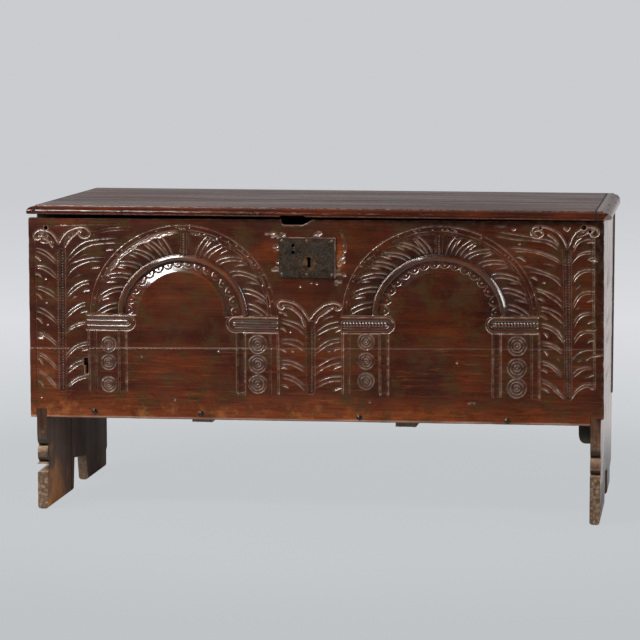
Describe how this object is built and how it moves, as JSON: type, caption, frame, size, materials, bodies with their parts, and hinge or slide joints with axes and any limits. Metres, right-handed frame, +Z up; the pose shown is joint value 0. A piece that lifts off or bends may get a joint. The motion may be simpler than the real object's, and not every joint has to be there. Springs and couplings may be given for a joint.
{
  "type": "coffer chest",
  "caption": "Boarded oak coffer chest with a carved arcaded plank front, shaped slab feet, an iron lock plate and a moulded cleated lid on strap hinges.",
  "frame": {"origin": "on the floor, under the middle of the whole chest", "axes": "+X along the front to the chest's left as it faces you from the front, which is the viewer's right; +Y from the front to the back; +Z up"},
  "size_m": [1.2124, 0.5634, 0.6435],
  "materials": {
    "carved_oak": "dark waxed oak, carved",
    "carved_oak_low": "red-brown waxed oak, carved",
    "lid_oak": "waxed oak",
    "end_oak": "worn waxed oak",
    "back_oak": "dry unpolished oak",
    "inner_oak": "dry unpolished oak",
    "iron": "dark wrought iron",
    "nail_iron": "dark wrought iron"
  },
  "bodies": {
    "chest": {"front_board_upper": "carved_oak", "front_board_lower": "carved_oak_low", "back_board_upper": "back_oak", "back_board_lower": "back_oak", "end_left_front": "end_oak", "end_left_rear": "end_oak", "end_right_front": "end_oak", "end_right_rear": "end_oak", "bottom_board_front": "inner_oak", "bottom_board_rear": "inner_oak", "batten_left": "inner_oak", "batten_right": "inner_oak", "bearer_right": "inner_oak", "lock_plate": "iron", "lock_case": "iron", "bolt_guide_left": "iron", "bolt_guide_right": "iron", "bolt_spring": "iron", "hinge_plate_left": "iron", "hinge_pin_left": "iron", "hinge_plate_right": "iron", "hinge_pin_right": "iron", "bottom_nail_1": "nail_iron", "bottom_nail_2": "nail_iron", "bottom_nail_3": "nail_iron", "bottom_nail_4": "nail_iron", "plate_nail_1": "nail_iron", "plate_nail_2": "nail_iron", "plate_nail_3": "nail_iron", "plate_nail_4": "nail_iron", "plate_nail_5": "nail_iron", "plate_nail_6": "nail_iron", "batten_nail_1": "nail_iron", "batten_nail_2": "nail_iron", "batten_nail_3": "nail_iron", "batten_nail_4": "nail_iron", "batten_nail_5": "nail_iron", "batten_nail_6": "nail_iron", "batten_nail_7": "nail_iron", "batten_nail_8": "nail_iron"},
    "lid": {"lid_board_front": "lid_oak", "lid_board_rear": "lid_oak", "lid_cleat_left": "lid_oak", "lid_cleat_right": "lid_oak", "hinge_strap_left": "iron", "hinge_strap_right": "iron"},
    "bolt": {"lock_bolt": "iron"}
  },
  "joints": [
    {"name": "lid_hinge", "type": "hinge", "parent": "chest", "child": "lid", "pos_m": [-0.00475, 0.27625, 0.6197], "axis": [-1, 0, 0], "range_deg": [0, 105]},
    {"name": "bolt_slide", "type": "slide", "parent": "chest", "child": "bolt", "axis": [1, 0, 0], "range_m": [0, 0.014]}
  ]
}
